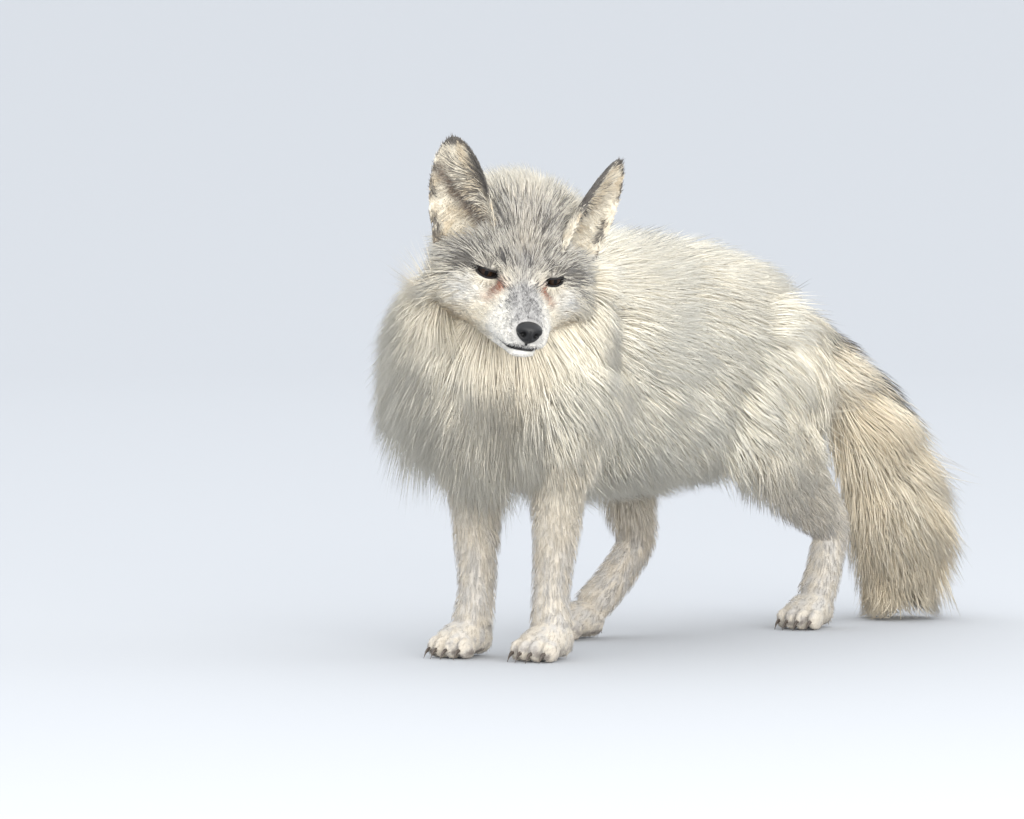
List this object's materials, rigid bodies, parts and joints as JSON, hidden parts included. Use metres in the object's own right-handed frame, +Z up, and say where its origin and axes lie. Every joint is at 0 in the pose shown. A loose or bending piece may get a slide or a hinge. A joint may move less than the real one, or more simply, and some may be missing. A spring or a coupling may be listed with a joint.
{
  "type": "arctic marble fox",
  "caption": "Standing fox in a long cream winter coat, head turned to its left, large upright ears, slim legs and a deep brush of a tail that reaches the floor.",
  "frame": {"origin": "on the floor, under the middle of the animal's bounding box", "axes": "+Z up, -Y the way the body faces, +X the animal's own left"},
  "size_m": [0.2512, 0.7982, 0.4729],
  "materials": {
    "coat_cream": "long soft cream fur",
    "coat_grey": "short grey ticked fur",
    "coat_tan": "long tan and cream fur",
    "nose_leather": "moist black leather",
    "eye": "wet dark brown"
  },
  "bodies": {
    "root": {"lower_jaw": "coat_cream", "neck": "coat_cream", "trunk": "coat_cream", "tail_base": "coat_cream", "leg_front_left_upper": "coat_cream", "leg_front_left_lower": "coat_cream", "leg_front_right_upper": "coat_cream", "leg_front_right_lower": "coat_cream", "leg_hind_left_upper": "coat_cream", "leg_hind_left_lower": "coat_cream", "leg_hind_right_upper": "coat_cream", "leg_hind_right_lower": "coat_cream", "paw_front_left": "coat_cream", "paw_front_right": "coat_cream", "paw_hind_left": "coat_cream", "paw_hind_right": "coat_cream", "head": "coat_grey", "ear_left": "coat_grey", "ear_right": "coat_grey", "tail_middle": "coat_tan", "tail_tip": "coat_tan", "nose": "nose_leather", "eye_left": "eye", "eye_right": "eye"}
  },
  "joints": []
}
